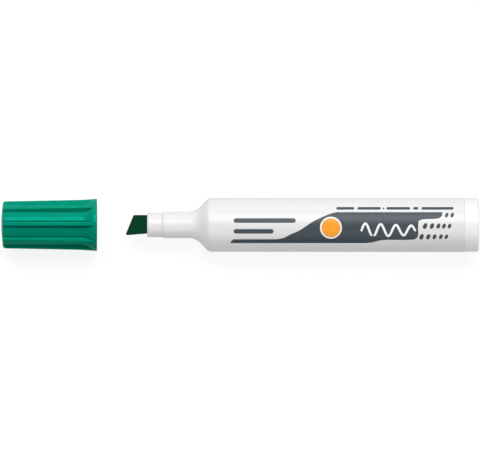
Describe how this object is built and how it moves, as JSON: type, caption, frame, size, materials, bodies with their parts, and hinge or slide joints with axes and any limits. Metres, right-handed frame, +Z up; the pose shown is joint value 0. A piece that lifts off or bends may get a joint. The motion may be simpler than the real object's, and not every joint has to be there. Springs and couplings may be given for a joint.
{
  "type": "whiteboard marker",
  "caption": "Stout white dry-wipe marker with a narrow neck, a slanted chisel nib and a ribbed green push-on cap, cap off.",
  "frame": {"origin": "on the surface that the barrel lies on, under the middle of the pen and its pulled-off cap", "axes": "+X along the pen's axis from the nib to the rear end, +Z up, +Y across the pen, towards the short corner of the chisel nib"},
  "size_m": [0.159, 0.0182, 0.0182],
  "materials": {
    "white_plastic": "glossy moulded polypropylene",
    "green_plastic": "satin-gloss moulded polypropylene",
    "natural_plastic": "undyed polyethylene",
    "inked_felt": "bonded polyester felt soaked in green ink",
    "ink_fibre": "bundled fibre soaked in green ink",
    "clear_film": "thin wrapped film"
  },
  "bodies": {
    "pen": {"barrel": "white_plastic", "nib_holder": "white_plastic", "nib": "inked_felt", "reservoir_core": "ink_fibre", "reservoir_film": "clear_film", "end_plug": "white_plastic"},
    "liner": {"cap_liner": "natural_plastic"},
    "cap": {"cap_shell": "green_plastic"}
  },
  "joints": [
    {"name": "cap_slide", "type": "slide", "parent": "pen", "child": "liner", "axis": [1, 0, 0], "range_m": [0, 0.0355]},
    {"name": "cap_twist", "type": "hinge", "parent": "liner", "child": "cap", "pos_m": [-0.0635, 0, 0.0091], "axis": [1, 0, 0], "continuous": true}
  ]
}
